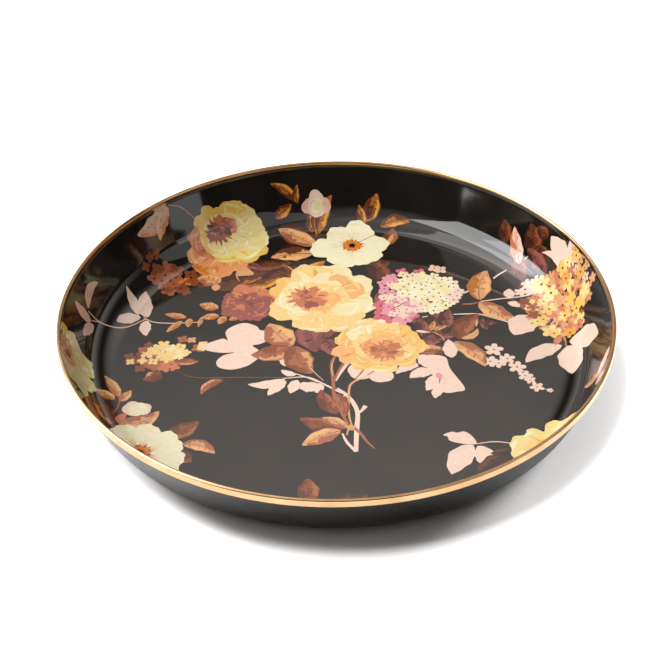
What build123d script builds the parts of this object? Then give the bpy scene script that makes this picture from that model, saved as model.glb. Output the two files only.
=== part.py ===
"""Deep round painted tray: a pressed steel dish, its gloss inside coat and a gold-tone rim trim.

Units are millimetres. Z is up, the tray stands on Z = 0 and its axis is the Z axis.
Each node is one closed solid, turned about Z from a section drawn in the XZ plane.
"""
import math
import os

from build123d import *

os.makedirs("parts", exist_ok=True)

# Overall size
RIM_RADIUS = 200.0            # outside of the rim trim
TRAY_HEIGHT = 50.0            # from the table to the top of the rim trim

# Pressed dish
SHEET = 0.8                   # thickness of the steel sheet
FLAT_RADIUS = 163.0           # flat floor, up to where the corner starts to rise
CORNER_RADIUS = 26.0          # between floor and wall, on the outside
WALL_LEAN = 22.0              # degrees that the wall leans outwards from upright
NECK_RADIUS = 8.0             # bend that turns the wall upright below the rim, on the outside

# Inside coat
COAT = 0.2                    # lacquer over the steel, inside the dish only

# Rim trim: a grooved strip with a half-round top, pushed over the folded edge of the sheet
TRIM_METAL = 0.5              # thickness of the metal on each side of the groove
TRIM_CROWN = 0.8              # metal above the groove
CROWN_FLATS = 6               # flats that make up the half-round top
TRIM_OUTER_LEG = 4.0          # outer leg, measured down from the centre of the half-round
TRIM_INNER_LEG = 1.0          # inner leg, measured down from the centre of the half-round

# Radii across the rim, from the outside in
FOLD_OUTER_R = RIM_RADIUS - TRIM_METAL
NECK_OUTER_R = FOLD_OUTER_R - SHEET
NECK_INNER_R = NECK_OUTER_R - SHEET
COAT_INNER_R = NECK_INNER_R - COAT
TRIM_INNER_R = COAT_INNER_R - TRIM_METAL

# The half-round top of the trim, and the sheet's fold in its groove
TRIM_TOP_RADIUS = (RIM_RADIUS - TRIM_INNER_R) / 2
TRIM_CENTRE_R = RIM_RADIUS - TRIM_TOP_RADIUS
TRIM_CENTRE_Z = TRAY_HEIGHT - TRIM_TOP_RADIUS
GROOVE_TOP_Z = TRAY_HEIGHT - TRIM_CROWN
FOLD_CENTRE_Z = GROOVE_TOP_Z - SHEET

# The wall's angle from the floor, and the length of its straight part
WALL_ANGLE = 90.0 - WALL_LEAN
WALL_SIN = math.sin(math.radians(WALL_ANGLE))
WALL_COS = math.cos(math.radians(WALL_ANGLE))
WALL_RUN = NECK_OUTER_R - FLAT_RADIUS - CORNER_RADIUS * WALL_SIN - NECK_RADIUS * (1 - WALL_SIN)
WALL_LENGTH = WALL_RUN / WALL_COS


def dish_curve(depth):
    """Draw the dish's surface from the axis to its neck, at a depth inside its outer skin."""
    floor = Line((0, depth), (FLAT_RADIUS, depth))
    corner = JernArc(floor @ 1, (1, 0), CORNER_RADIUS - depth, WALL_ANGLE)
    wall = PolarLine(corner @ 1, WALL_LENGTH, WALL_ANGLE)
    neck = JernArc(wall @ 1, wall % 1, NECK_RADIUS - depth, WALL_LEAN)
    return neck @ 1


def turned(draw_outline):
    """Turn the closed outline that draw_outline draws once round the Z axis."""
    with BuildPart() as solid:
        with BuildSketch(Plane.XZ):
            with BuildLine():
                draw_outline()
            make_face()
        revolve(axis=Axis.Z)
    return solid.part


def shell_outline():
    """The sheet: floor, corner, wall and neck, with the edge folded over to the outside."""
    neck_outside = dish_curve(0.0)
    neck_inside = dish_curve(SHEET)
    upright = Line(neck_inside, (NECK_INNER_R, FOLD_CENTRE_Z))
    fold = JernArc(upright @ 1, (0, 1), SHEET, -180)
    Polyline(fold @ 1, (FOLD_OUTER_R, neck_outside.Y), neck_outside)
    Line((0, 0), (0, SHEET))


def coat_outline():
    """The lacquer: a skin on the inside of the sheet, ending under the trim's inner leg."""
    steel_side = dish_curve(SHEET)
    inner_side = dish_curve(SHEET + COAT)
    Polyline(
        steel_side,
        (NECK_INNER_R, FOLD_CENTRE_Z),
        (COAT_INNER_R, FOLD_CENTRE_Z),
        inner_side,
    )
    Line((0, SHEET), (0, SHEET + COAT))


def crown_point(step):
    """A corner of the half-round top, counted from its outer side to its inner side."""
    turn = math.pi * step / CROWN_FLATS
    return (
        TRIM_CENTRE_R + TRIM_TOP_RADIUS * math.cos(turn),
        TRIM_CENTRE_Z + TRIM_TOP_RADIUS * math.sin(turn),
    )


def trim_outline():
    """The trim: a half-round top with a groove below it, a long outer leg and a short inner leg."""
    outer_leg_z = TRIM_CENTRE_Z - TRIM_OUTER_LEG
    inner_leg_z = TRIM_CENTRE_Z - TRIM_INNER_LEG
    Polyline(
        *[crown_point(step) for step in range(CROWN_FLATS + 1)],
        (TRIM_INNER_R, inner_leg_z),
        (COAT_INNER_R, inner_leg_z),
        (COAT_INNER_R, GROOVE_TOP_Z),
        (FOLD_OUTER_R, GROOVE_TOP_Z),
        (FOLD_OUTER_R, outer_leg_z),
        (RIM_RADIUS, outer_leg_z),
        close=True,
    )


export_step(turned(shell_outline), "parts/tray_shell.step")
export_step(turned(coat_outline), "parts/inside_lacquer.step")
export_step(turned(trim_outline), "parts/rim_trim.step")
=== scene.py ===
"""Looks of the deep round painted tray: finely turned metal, gloss lacquer and a painted bouquet.

The painting is made of thin coats of paint. Each one is a flat outline in millimetres on the
unrolled inside of the dish: its distance from the origin is the way along the surface from the
centre, X is right and Y is back. The coats are cut into one layer, in which the topmost coat
shows, and wrapped onto the dish.
"""
import cmath
import math

import bpy
import numpy as np
from mathutils import Matrix, Vector
from mathutils.geometry import delaunay_2d_cdt


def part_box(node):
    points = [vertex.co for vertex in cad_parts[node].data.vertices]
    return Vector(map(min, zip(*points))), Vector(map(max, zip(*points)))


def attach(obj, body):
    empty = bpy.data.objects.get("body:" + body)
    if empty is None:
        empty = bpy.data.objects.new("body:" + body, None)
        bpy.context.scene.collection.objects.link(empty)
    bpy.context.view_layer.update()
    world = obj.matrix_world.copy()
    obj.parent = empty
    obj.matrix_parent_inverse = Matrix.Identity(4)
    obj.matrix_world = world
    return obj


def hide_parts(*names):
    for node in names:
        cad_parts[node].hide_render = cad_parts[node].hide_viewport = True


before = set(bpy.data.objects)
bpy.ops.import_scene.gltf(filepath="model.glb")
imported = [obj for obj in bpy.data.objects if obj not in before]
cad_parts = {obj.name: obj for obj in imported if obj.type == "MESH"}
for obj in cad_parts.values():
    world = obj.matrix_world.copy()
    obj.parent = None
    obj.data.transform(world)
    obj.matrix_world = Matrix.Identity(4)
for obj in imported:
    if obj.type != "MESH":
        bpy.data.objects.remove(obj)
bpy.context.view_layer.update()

MM = 0.001
TINY = 1e-9                   # keeps a division away from zero

# ---------------------------------------------------------------- the dish's section, in millimetres
SHELL_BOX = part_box("tray_shell")
TRIM_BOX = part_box("rim_trim")
COAT_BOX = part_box("inside_lacquer")
RIM_RADIUS = TRIM_BOX[1][0] / MM
HEIGHT = TRIM_BOX[1][2] / MM
TRIM_LOW = TRIM_BOX[0][2] / MM
SHEET = COAT_BOX[0][2] / MM
FOLD_OUTER_R = SHELL_BOX[1][0] / MM
COAT = 0.2
FLAT_RADIUS = 163.0
CORNER_RADIUS = 26.0
WALL_LEAN = math.radians(22.0)
NECK_RADIUS = 8.0
TRIM_RADIUS = 1.4
TRIM_INNER_LEG = 1.0
NECK_OUTER_R = FOLD_OUTER_R - SHEET
NECK_INNER_R = NECK_OUTER_R - SHEET
FLOOR_DEPTH = SHEET + COAT
TRIM_CENTRE = (RIM_RADIUS - TRIM_RADIUS, HEIGHT - TRIM_RADIUS)

WALL_SLOPE = math.pi / 2 - WALL_LEAN
WALL_SIN, WALL_COS = math.sin(WALL_SLOPE), math.cos(WALL_SLOPE)
WALL_LENGTH = (
    NECK_OUTER_R - FLAT_RADIUS - CORNER_RADIUS * WALL_SIN - NECK_RADIUS * (1 - WALL_SIN)
) / WALL_COS


def surface(way, depth):
    """Radius, height and slope of the dish's surface, a way along it from the centre.

    depth is how far inside the outer skin the surface lies.
    """
    way = np.asarray(way, float)
    corner = CORNER_RADIUS - depth
    neck = NECK_RADIUS - depth
    corner_end = FLAT_RADIUS + corner * WALL_SLOPE
    wall_end = corner_end + WALL_LENGTH
    neck_end = wall_end + neck * WALL_LEAN
    turn = np.clip((way - FLAT_RADIUS) / corner, 0, WALL_SLOPE)
    up = np.clip(way - corner_end, 0, WALL_LENGTH)
    bend = np.clip((way - wall_end) / neck, 0, WALL_LEAN)
    slope = turn + bend
    radius = np.minimum(way, FLAT_RADIUS) + corner * np.sin(turn) + up * WALL_COS
    radius = radius + neck * (np.sin(slope) - np.sin(turn))
    height = depth + corner * (1 - np.cos(turn)) + up * WALL_SIN
    height = height + neck * (np.cos(turn) - np.cos(slope)) + np.maximum(way - neck_end, 0)
    return radius, height, slope


def dish_rings(depth, top):
    """Points of the surface's section from the centre to the height top, close enough to look smooth."""
    corner_end = FLAT_RADIUS + (CORNER_RADIUS - depth) * WALL_SLOPE
    wall_end = corner_end + WALL_LENGTH
    neck_end = wall_end + (NECK_RADIUS - depth) * WALL_LEAN
    ways = np.concatenate([
        np.linspace(0, FLAT_RADIUS, 9)[:-1],
        np.linspace(FLAT_RADIUS, corner_end, 33)[:-1],
        np.linspace(corner_end, wall_end, 9)[:-1],
        np.linspace(wall_end, neck_end, 9),
    ])
    radius, height, _ = surface(ways, depth)
    return list(zip(radius, height)) + [(radius[-1], top)]


TURN_STEPS = 512              # cuts round a turned piece
SHARP_ANGLE = math.radians(40.0)


def lathe(name, section):
    """Turn a closed section of (radius, height) points in millimetres about the tray's axis."""
    section = np.array(section) * MM
    ring = np.exp(2j * np.pi * np.arange(TURN_STEPS) / TURN_STEPS)
    verts = []
    index = []
    for radius, height in section:
        if radius < TINY:
            index.append([len(verts)] * TURN_STEPS)
            verts.append((0.0, 0.0, height))
            continue
        index.append(list(range(len(verts), len(verts) + TURN_STEPS)))
        verts.extend((radius * c.real, radius * c.imag, height) for c in ring)
    faces = []
    for low, high in zip(index, index[1:] + index[:1]):
        if low[0] == low[1] and high[0] == high[1]:
            continue
        for k in range(TURN_STEPS):
            after = (k + 1) % TURN_STEPS
            corners = [low[k], low[after], high[after], high[k]]
            faces.append(list(dict.fromkeys(corners)))
    mesh = bpy.data.meshes.new(name)
    mesh.from_pydata(verts, [], faces)
    mesh.validate()
    mesh.polygons.foreach_set("use_smooth", [True] * len(mesh.polygons))
    mesh.set_sharp_from_angle(angle=SHARP_ANGLE)
    return link(name, mesh)


def link(name, mesh):
    """A new object of the mesh, in the scene."""
    piece = bpy.data.objects.new(name, mesh)
    bpy.context.scene.collection.objects.link(piece)
    return piece


# ---------------------------------------------------------------- materials
def nodes_of(name):
    """A new material, its Principled node and a function that adds nodes to it."""
    material = bpy.data.materials.new(name)
    material.use_nodes = True
    tree = material.node_tree
    shader = tree.nodes["Principled BSDF"]

    def add(kind, **values):
        node = tree.nodes.new(kind)
        for key, value in values.items():
            if key in node.inputs:
                node.inputs[key].default_value = value
            else:
                setattr(node, key, value)
        return node

    return material, tree.links, shader, add


def noise(add, links, scale, detail=3.0, stretch=None):
    """Noise in the object's own metres, optionally stretched."""
    place = add("ShaderNodeTexCoord")
    texture = add("ShaderNodeTexNoise", Scale=scale, Detail=detail)
    source = place.outputs["Object"]
    if stretch:
        mapping = add("ShaderNodeMapping", Scale=stretch)
        links.new(source, mapping.inputs["Vector"])
        source = mapping.outputs["Vector"]
    links.new(source, texture.inputs["Vector"])
    return texture.outputs["Fac"]


NOISE_LOW, NOISE_HIGH = 0.30, 0.70      # noise mostly stays between these values
TONE_LOW, TONE_HIGH = 0.32, 0.68        # noise values where two_tone reaches its dark and its light


def ranged(add, links, value, low, high):
    """The noise, moved and clamped to run from low to high."""
    node = add("ShaderNodeMapRange")
    node.inputs["From Min"].default_value = NOISE_LOW
    node.inputs["From Max"].default_value = NOISE_HIGH
    node.inputs["To Min"].default_value = low
    node.inputs["To Max"].default_value = high
    links.new(value, node.inputs["Value"])
    return node.outputs["Result"]


def bump(add, links, shader, value, strength, distance):
    """Fine relief on the shader's normal."""
    node = add("ShaderNodeBump", Strength=strength, Distance=distance)
    links.new(value, node.inputs["Height"])
    links.new(node.outputs["Normal"], shader.inputs["Normal"])


def two_tone(add, links, shader, value, dark, light):
    """Base colour that wanders between two colours."""
    ramp = add("ShaderNodeValToRGB")
    ramp.color_ramp.elements[0].position = TONE_LOW
    ramp.color_ramp.elements[1].position = TONE_HIGH
    ramp.color_ramp.elements[0].color = (*dark, 1)
    ramp.color_ramp.elements[1].color = (*light, 1)
    links.new(value, ramp.inputs["Fac"])
    links.new(ramp.outputs["Color"], shader.inputs["Base Color"])


def gloss_lacquer():
    """Deep warm black, with the faint unevenness of brushed and baked coats."""
    material, links, shader, add = nodes_of("gloss_black_lacquer")
    mottle = noise(add, links, 22.0)
    two_tone(add, links, shader, mottle, (0.0035, 0.0028, 0.0022), (0.0085, 0.0068, 0.0055))
    links.new(ranged(add, links, noise(add, links, 60.0), 0.045, 0.085), shader.inputs["Roughness"])
    bump(add, links, shader, noise(add, links, 140.0, 1.0), 0.03, 0.0004)
    shader.inputs["IOR"].default_value = 1.62
    return material


def satin_paint():
    """The outside: sprayed satin black with a fine orange peel."""
    material, links, shader, add = nodes_of("satin_black_paint")
    mottle = noise(add, links, 18.0, 1.0)
    two_tone(add, links, shader, mottle, (0.0055, 0.005, 0.0045), (0.0075, 0.007, 0.0065))
    links.new(ranged(add, links, noise(add, links, 25.0, 1.0), 0.26, 0.31), shader.inputs["Roughness"])
    bump(add, links, shader, noise(add, links, 1400.0, 1.0), 0.05, 0.00004)
    shader.inputs["Specular IOR Level"].default_value = 0.10
    return material


def rim_gold():
    """Gold-tone metal with a slightly uneven, lightly rubbed polish."""
    material, links, shader, add = nodes_of("gold_tone_metal")
    two_tone(add, links, shader, noise(add, links, 45.0), (0.50, 0.305, 0.155), (0.60, 0.39, 0.215))
    shader.inputs["Metallic"].default_value = 1.0
    links.new(ranged(add, links, noise(add, links, 160.0), 0.12, 0.19), shader.inputs["Roughness"])
    bump(add, links, shader, noise(add, links, 1500.0, 2.0, (1, 1, 6)), 0.10, 0.00003)
    return material


def painted():
    """Gloss paint in each coat's own tone, laid on by brush: mottled, with a fine grain."""
    material, links, shader, add = nodes_of("flower_paint")
    tone = add("ShaderNodeAttribute", attribute_name="tone")
    broad = ranged(add, links, noise(add, links, 190.0, 4.0, (1, 2.2, 1)), 0.62, 0.69)
    fine = ranged(add, links, noise(add, links, 1300.0, 2.0), 0.97, 1.02)
    both = add("ShaderNodeMath", operation="MULTIPLY")
    links.new(broad, both.inputs[0])
    links.new(fine, both.inputs[1])
    shade = add("ShaderNodeVectorMath", operation="SCALE")
    links.new(tone.outputs["Color"], shade.inputs[0])
    links.new(both.outputs[0], shade.inputs["Scale"])
    links.new(shade.outputs["Vector"], shader.inputs["Base Color"])
    links.new(ranged(add, links, noise(add, links, 80.0), 0.06, 0.12), shader.inputs["Roughness"])
    shader.inputs["IOR"].default_value = 1.6
    bump(add, links, shader, noise(add, links, 420.0, 2.0, (1, 3, 1)), 0.05, 0.0002)
    return material


def table_top():
    """Plain pale studio floor."""
    material, links, shader, add = nodes_of("studio_floor")
    two_tone(add, links, shader, noise(add, links, 3.0), (0.86, 0.86, 0.86), (0.88, 0.88, 0.88))
    shader.inputs["Roughness"].default_value = 0.7
    shader.inputs["Specular IOR Level"].default_value = 0.15
    return material


# ---------------------------------------------------------------- paint tones, as sRGB
TONES = {
    "ivory": (0.98, 0.95, 0.80),
    "cream": (0.97, 0.91, 0.70),
    "butter": (0.98, 0.84, 0.55),
    "lemon": (0.96, 0.88, 0.58),
    "honey": (0.97, 0.77, 0.43),
    "yellow": (0.93, 0.78, 0.38),
    "gold": (0.92, 0.66, 0.27),
    "orange": (0.90, 0.53, 0.20),
    "amber": (0.84, 0.50, 0.20),
    "apricot": (0.97, 0.73, 0.46),
    "peach": (0.92, 0.61, 0.39),
    "salmon": (0.82, 0.49, 0.35),
    "terracotta": (0.67, 0.40, 0.27),
    "rust": (0.55, 0.29, 0.16),
    "umber": (0.40, 0.21, 0.11),
    "maroon": (0.26, 0.12, 0.08),
    "tan": (0.87, 0.64, 0.44),
    "ochre": (0.72, 0.43, 0.15),
    "blush": (0.97, 0.85, 0.775),
    "shell": (0.94, 0.77, 0.68),
    "pink": (0.93, 0.62, 0.67),
    "rose": (0.84, 0.43, 0.48),
    "mauve": (0.50, 0.28, 0.26),
    "dusk": (0.62, 0.34, 0.30),
    "ink": (0.07, 0.045, 0.035),
}


def linear(colour):
    """sRGB to the renderer's linear colour."""
    c = np.array(colour)
    return np.where(c <= 0.04045, c / 12.92, ((c + 0.055) / 1.055) ** 2.4)


# ---------------------------------------------------------------- laying coats of paint
PAINT_LIFT = 0.03             # thickness of the paint on the lacquer
PAINT_EDGE = 224.9            # painting stops here, just under the trim
SPOKES = 256                  # cuts round the dish, where it curves
RING_STEP = 1.5               # way between cuts in the corner
MERGE = 1e-5                  # points closer than this are one


class Painting:
    """Coats of paint in their order of laying: motif, outline and tone."""

    def __init__(self):
        self.coats = []
        self.motif = None

    def begin(self, name):
        """Later coats belong to this motif, which becomes one piece."""
        self.motif = name

    def lay(self, outline, tone):
        """Lay one coat. outline holds complex numbers, in millimetres."""
        outline = np.asarray(outline, complex)
        outline = outline * np.minimum(1.0, PAINT_EDGE / np.maximum(np.abs(outline), TINY))
        self.coats.append((self.motif, outline, tone))


def curve_cuts():
    """Rings and spokes that cut the paint where the dish curves."""
    corner_end = FLAT_RADIUS + (CORNER_RADIUS - FLOOR_DEPTH) * WALL_SLOPE
    wall_end = corner_end + WALL_LENGTH
    ways = [*np.arange(FLAT_RADIUS, corner_end - 1, RING_STEP), corner_end,
            (corner_end + wall_end) / 2, *np.linspace(wall_end, PAINT_EDGE, 4)]
    ring = np.exp(2j * np.pi * np.arange(SPOKES) / SPOKES)
    points = np.concatenate([way * ring for way in ways])
    edges = []
    for row in range(len(ways)):
        first = row * SPOKES
        edges += [(first + k, first + (k + 1) % SPOKES) for k in range(SPOKES)]
        if row:
            edges += [(first - SPOKES + k, first + k) for k in range(SPOKES)]
    return points, edges


def winds_round(outline, points):
    """Which points the outline winds round."""
    start, end = outline[None, :], np.roll(outline, -1)[None, :]
    at = points[:, None]
    side = (end - start).real * (at - start).imag - (at - start).real * (end - start).imag
    rising = (start.imag <= at.imag) & (at.imag < end.imag) & (side > 0)
    falling = (end.imag <= at.imag) & (at.imag < start.imag) & (side < 0)
    return rising.sum(axis=1) != falling.sum(axis=1)


def flatten(coats):
    """Cut all the coats into one layer of triangles, each with the number of its topmost coat."""
    points, edges = curve_cuts()
    points = list(points)
    for _, outline, _ in coats:
        first, count = len(points), len(outline)
        points.extend(outline)
        edges += [(first + k, first + (k + 1) % count) for k in range(count)]
    flat = [Vector((point.real, point.imag)) for point in points]
    corners, _, triangles, _, _, _ = delaunay_2d_cdt(flat, edges, [], 0, MERGE)
    corners = np.array([complex(*corner) for corner in corners])
    triangles = np.array(triangles)
    middles = corners[triangles].mean(axis=1)
    top = np.full(len(triangles), -1)
    for number, (_, outline, _) in enumerate(coats):
        x, y = outline.real, outline.imag
        near = (middles.real > x.min()) & (middles.real < x.max())
        near &= (middles.imag > y.min()) & (middles.imag < y.max())
        near = np.nonzero(near)[0]
        top[near[winds_round(outline, middles[near])]] = number
    return corners, triangles[top >= 0], top[top >= 0]


def on_dish(flat, lift):
    """Points and normals on the painted side of the lacquer, lifted towards the dish's middle."""
    radius, height, slope = surface(np.abs(flat), FLOOR_DEPTH)
    outward = flat / np.maximum(np.abs(flat), TINY)
    radius = radius - lift * np.sin(slope)
    height = height + lift * np.cos(slope)
    points = np.stack([radius * outward.real, radius * outward.imag, height], -1)
    normals = np.stack([-np.sin(slope) * outward.real, -np.sin(slope) * outward.imag, np.cos(slope)], -1)
    return points, normals


def make_pieces(coats, material):
    """One piece for each motif, wrapped onto the inside of the dish."""
    corners, triangles, top = flatten(coats)
    motifs = list(dict.fromkeys(motif for motif, _, _ in coats))
    motif_of = np.array([motifs.index(motif) for motif, _, _ in coats])[top]
    tone_of = np.array([linear(TONES[tone]) for _, _, tone in coats])[top]
    pieces = []
    for number, name in enumerate(motifs):
        mine = motif_of == number
        used, faces = np.unique(triangles[mine], return_inverse=True)
        points, normals = on_dish(corners[used], PAINT_LIFT)
        mesh = bpy.data.meshes.new(name)
        mesh.from_pydata((points * MM).tolist(), [], faces.reshape(-1, 3).tolist())
        mesh.polygons.foreach_set("use_smooth", [True] * len(mesh.polygons))
        mesh.normals_split_custom_set_from_vertices(normals.tolist())
        colours = np.ones((3 * len(mesh.polygons), 4))
        colours[:, :3] = np.repeat(tone_of[mine], 3, axis=0)
        layer = mesh.color_attributes.new("tone", "FLOAT_COLOR", "CORNER")
        layer.data.foreach_set("color", colours.ravel())
        mesh.materials.append(material)
        pieces.append(link(name, mesh))
    return pieces


# ---------------------------------------------------------------- outlines
def spline(points, closed=False, steps=6):
    """A smooth line through the points."""
    p = np.asarray(points, complex)
    if closed:
        p = np.concatenate([p[-1:], p, p[:2]])
    else:
        p = np.concatenate([[2 * p[0] - p[1]], p, [2 * p[-1] - p[-2]]])
    t = np.linspace(0, 1, steps, endpoint=False)
    line = []
    for a, b, c, d in zip(p, p[1:], p[2:], p[3:]):
        line.append(0.5 * (2 * b + (c - a) * t + (2 * a - 5 * b + 4 * c - d) * t**2
                           + (3 * b - 3 * c + d - a) * t**3))
    line = np.concatenate(line)
    return line if closed else np.append(line, p[-2])


def ribbon(line, widths):
    """Outline of a line drawn with a brush of changing width."""
    line = np.asarray(line, complex)
    along = np.gradient(line)
    side = 1j * along / np.maximum(np.abs(along), TINY)
    half = np.interp(np.linspace(0, 1, len(line)), np.linspace(0, 1, len(widths)), widths) / 2
    return np.concatenate([line + side * half, (line - side * half)[::-1]])


def blob(centre, size, lobes, depth, turn=0.0, squash=1.0, points=40):
    """A round outline with lobes of a depth, as of a small flower or a drop."""
    a = np.linspace(0, 2 * np.pi, points, endpoint=False)
    reach = size * (1 - depth + depth * np.abs(np.cos(lobes * a / 2)) ** 0.8) if lobes else size
    shape = reach * np.exp(1j * a)
    shape = shape.real + 1j * shape.imag * squash
    return centre + shape * cmath.exp(1j * turn)


def leaf_halves(base, tip, width, bend, waves=0.0, points=22):
    """The midrib of a leaf and its two edges, from base to tip."""
    t = np.linspace(0, 1, points)
    rib = base + (tip - base) * (t + 4j * bend * t * (1 - t))
    along = np.gradient(rib)
    side = 1j * along / np.abs(along)
    half = width / 2 * np.sin(np.pi * t**0.85) ** 0.8
    ripple = 1 + waves * np.sin(t * 19 + width)
    return rib, rib + side * half * ripple, rib - side * half * (1 + waves * np.sin(t * 17 + 2 + width))


def leaf(art, base, tip, width, tones, bend=0.0, waves=0.06, side=1, vein=True):
    """A leaf: its body, brushed shade on one half, touches of light on the other, and a drawn midrib."""
    body, shade, light = tones
    rib, left, right = leaf_halves(base, tip, width, bend, waves)
    art.lay(np.concatenate([left, right[-2:0:-1]]), body)
    near, far = (left, right) if side > 0 else (right, left)
    t = np.linspace(0, 1, len(rib))
    rng = np.random.default_rng(int(abs(base) * 10 + abs(tip)))
    if shade:
        wander = np.clip(0.30 + 0.35 * np.sin(t * 9 + width) + rng.uniform(-0.28, 0.28, len(t)), 0.04, 0.8)
        inner = rib + (near - rib) * wander
        art.lay(np.concatenate([inner[1:-2], near[-3:0:-1]]), shade)
        for start in rng.uniform(0.15, 0.7, 3):
            low = int(start * len(rib))
            high = min(low + 5, len(rib) - 2)
            tongue = [rib[low], (rib[low + 1] + far[low + 2]) / 2, far[high] * 0.7 + rib[high] * 0.3]
            art.lay(ribbon(spline(tongue, steps=4), [0.4, width * 0.09, 0.2]), shade)
    if light:
        start, end = int(len(rib) * 0.25), int(len(rib) * 0.85)
        rough = rng.uniform(0.25, 0.62, len(rib))
        outer = rib + (far - rib) * 0.86
        inner = rib + (far - rib) * rough
        art.lay(np.concatenate([outer[start:end], inner[start:end][::-1]]), light)
    if vein and shade:
        art.lay(ribbon(rib[: int(len(rib) * 0.9)], [0.9, 0.7, 0.35]), shade)


def stroke(art, points, widths, tone):
    """A stem, twig or vein."""
    art.lay(ribbon(spline(points, steps=7), widths), tone)


def petal(root, direction, inner, outer, spread, rng, ruffle=0.05, points=17):
    """A fan-shaped petal from its root, with an uneven, softly scalloped outer edge."""
    a = np.linspace(-1, 1, points)
    edge = outer * (1 - 0.22 * np.abs(a) ** 2.8)
    waves = rng.uniform(3.2, 6.5), rng.uniform(0, 6)
    edge = edge * (1 + ruffle * np.sin(a * waves[0] + waves[1]) + ruffle * 0.4 * np.sin(a * 13 + waves[1]))
    outside = edge * np.exp(1j * (direction + a * spread))
    back = inner * np.exp(1j * (direction + a[::-2] * spread * 0.7))
    return root + np.concatenate([outside, back])


def brushed_fan(root, direction, inner, outer, spread, rng, tongues=6):
    """A fan with a ragged outer edge, as brush marks drawn outwards leave it."""
    a = np.linspace(-1, 1, 2 * tongues + 1)
    edge = np.where(np.arange(len(a)) % 2, rng.uniform(0.78, 1.0, len(a)), rng.uniform(0.45, 0.7, len(a)))
    outside = spline(outer * edge * np.exp(1j * (direction + a * spread)), steps=3)
    back = inner * np.exp(1j * (direction + a[::-3] * spread * 0.7))
    return root + np.concatenate([outside, back])


def painted_petal(art, root, direction, inner, outer, spread, tones, rng):
    """One petal: body, brushed shade at its foot, light and shade strokes, and a curled pale edge."""
    body, shade, light = tones
    art.lay(petal(root, direction, inner, outer, spread, rng), body)
    depth = outer - inner
    art.lay(brushed_fan(root, direction + spread * rng.uniform(-0.25, 0.25), inner,
                        inner + depth * rng.uniform(0.45, 0.72), spread * rng.uniform(0.6, 0.85), rng), shade)
    for tone in (light, shade, light):
        aim = direction + spread * rng.uniform(-0.7, 0.7)
        start = root + (inner + depth * rng.uniform(0.3, 0.5)) * cmath.exp(1j * aim)
        far = inner + depth * rng.uniform(0.78, 0.92)
        end = root + far * cmath.exp(1j * (aim + rng.uniform(-0.1, 0.1)))
        middle = (start + end) / 2 + (end - start) * rng.uniform(-0.12, 0.12) * 1j
        widths = [0.2, depth * rng.uniform(0.06, 0.14), 0.3]
        art.lay(ribbon(spline([start, middle, end], steps=5), widths), tone)
    if rng.random() < 0.4:
        return
    a = np.linspace(rng.uniform(-0.85, -0.4), rng.uniform(0.1, 0.8), 9)
    curl = root + outer * (0.93 - 0.2 * np.abs(a) ** 2.8) * np.exp(1j * (direction + a * spread))
    art.lay(ribbon(curl, [0.2, depth * 0.11, depth * 0.07, 0.2]), light)


def crescent(middle, reach, direction, spread, thickness):
    """A curved brush mark round a middle."""
    a = np.linspace(direction - spread, direction + spread, 11)
    return ribbon(middle + reach * np.exp(1j * a), [0.15, thickness, thickness * 0.8, 0.15])


FAN_STEP = 1.26               # about a fifth of a turn, between the fans of a rose's heart
FOLD_STEP = 2.4               # about the golden angle, so that the folds make no pattern


def rose(art, centre, size, eye, turn, rings, heart, seed):
    """A full rose seen a little from one side.

    eye is how far its heart lies from the centre. Each ring is (reach, petals, wheel), from the
    outside in, and its wheel holds the petals' tones by direction, from the right and round.
    """
    rng = np.random.default_rng(seed)
    for reach, count, wheel in rings:
        root = centre + eye * (1.15 - reach)
        offset = rng.uniform(0, 1)
        for k in rng.permutation(count):
            direction = turn + 2 * np.pi * (k + offset + rng.uniform(-0.18, 0.18)) / count
            tones = wheel[int(direction % (2 * np.pi) / (2 * np.pi) * len(wheel)) % len(wheel)]
            outer = size * reach * rng.uniform(0.90, 1.07)
            toward = (cmath.exp(1j * direction) * eye.conjugate()).real / max(abs(eye), 1)
            outer = outer - toward * (1 - reach) * size * 0.10
            spread = np.pi / count * rng.uniform(1.15, 1.55)
            painted_petal(art, root, direction, size * reach * 0.15, outer, spread, tones, rng)
    deep, mid, bright = heart
    middle = centre + eye
    reach = size * rings[-1][0]
    for k in range(5):
        art.lay(brushed_fan(middle, turn + k * FAN_STEP, 0.1, reach * 0.95, 0.75, rng, 4), mid)
    for k in range(11):
        direction = turn + k * FOLD_STEP + rng.uniform(-0.3, 0.3)
        foot = middle + reach * rng.uniform(0.1, 0.45) * cmath.exp(1j * direction)
        fold = direction + rng.uniform(-1.0, 1.0)
        outer = reach * rng.uniform(0.34, 0.52)
        spread = rng.uniform(0.5, 0.9)
        tone = (bright, mid, deep, mid)[k % 4]
        art.lay(petal(foot, fold, reach * 0.04, outer, spread, rng, 0.10, 9), tone)
    for k in range(5):
        foot = middle + reach * rng.uniform(0.05, 0.5) * cmath.exp(1j * (turn + k * 1.9))
        bend = foot + reach * 0.22 * cmath.exp(1j * (turn + k * 2.9))
        end = foot + reach * 0.4 * cmath.exp(1j * k)
        art.lay(ribbon(spline([foot, bend, end], steps=4), [0.2, reach * 0.09, 0.2]), deep)


STAMENS = 28                  # points on the edge of a blossom's crown, in and out by turns
DOT_STEP = 0.698              # a ninth of a turn, between the nine dots of the crown


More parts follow.
